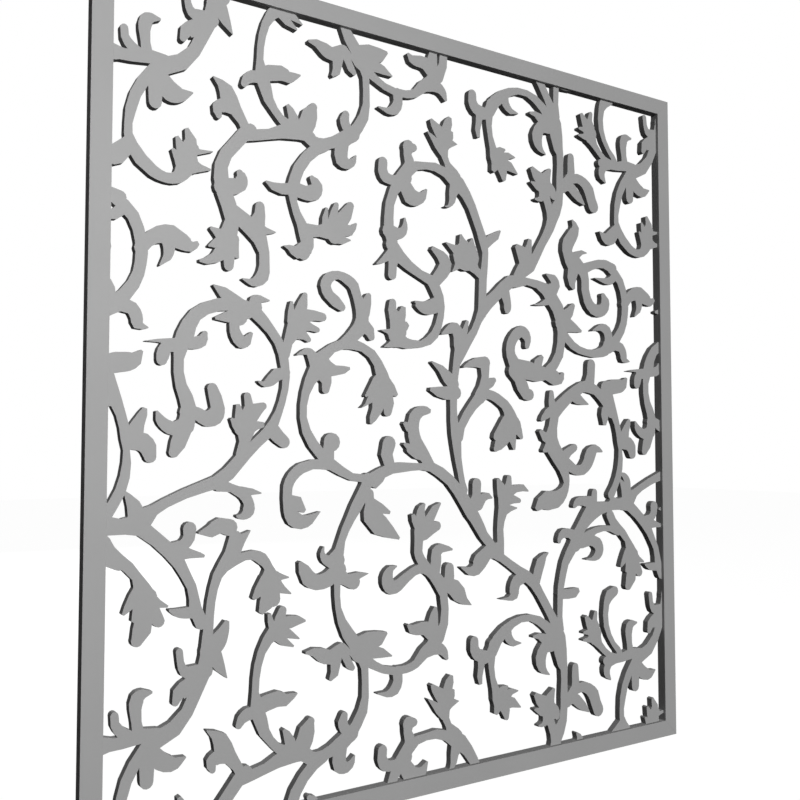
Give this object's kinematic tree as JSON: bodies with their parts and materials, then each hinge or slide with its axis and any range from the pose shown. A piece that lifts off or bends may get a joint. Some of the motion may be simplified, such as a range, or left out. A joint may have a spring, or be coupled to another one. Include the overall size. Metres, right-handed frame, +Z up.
{
  "type": "hanging room divider panel",
  "caption": "Flat square-edged frame round an open vine-scroll fretwork sheet; hangs from its top rail as a see-through room divider.",
  "frame": {"origin": "middle of the top edge of the frame, half way through its depth, between the two threaded inserts", "axes": "+X to the right seen from the front, +Y from the front face to the back, +Z up"},
  "size_m": [1.2192, 0.019, 1.3306],
  "materials": {
    "painted_sheet": "satin paint on fibreboard",
    "painted_frame": "satin paint on wood",
    "plywood_key": "bare",
    "steel_pin": "bright",
    "brass_insert": "turned"
  },
  "bodies": {
    "root": {"fretwork_sheet": "painted_sheet", "left_stile": "painted_frame", "right_stile": "painted_frame", "top_rail": "painted_frame", "bottom_rail": "painted_frame", "corner_key_top_left": "plywood_key", "corner_key_top_right": "plywood_key", "corner_key_bottom_left": "plywood_key", "corner_key_bottom_right": "plywood_key", "rim_pins": "steel_pin", "hanging_inserts": "brass_insert"}
  },
  "joints": []
}
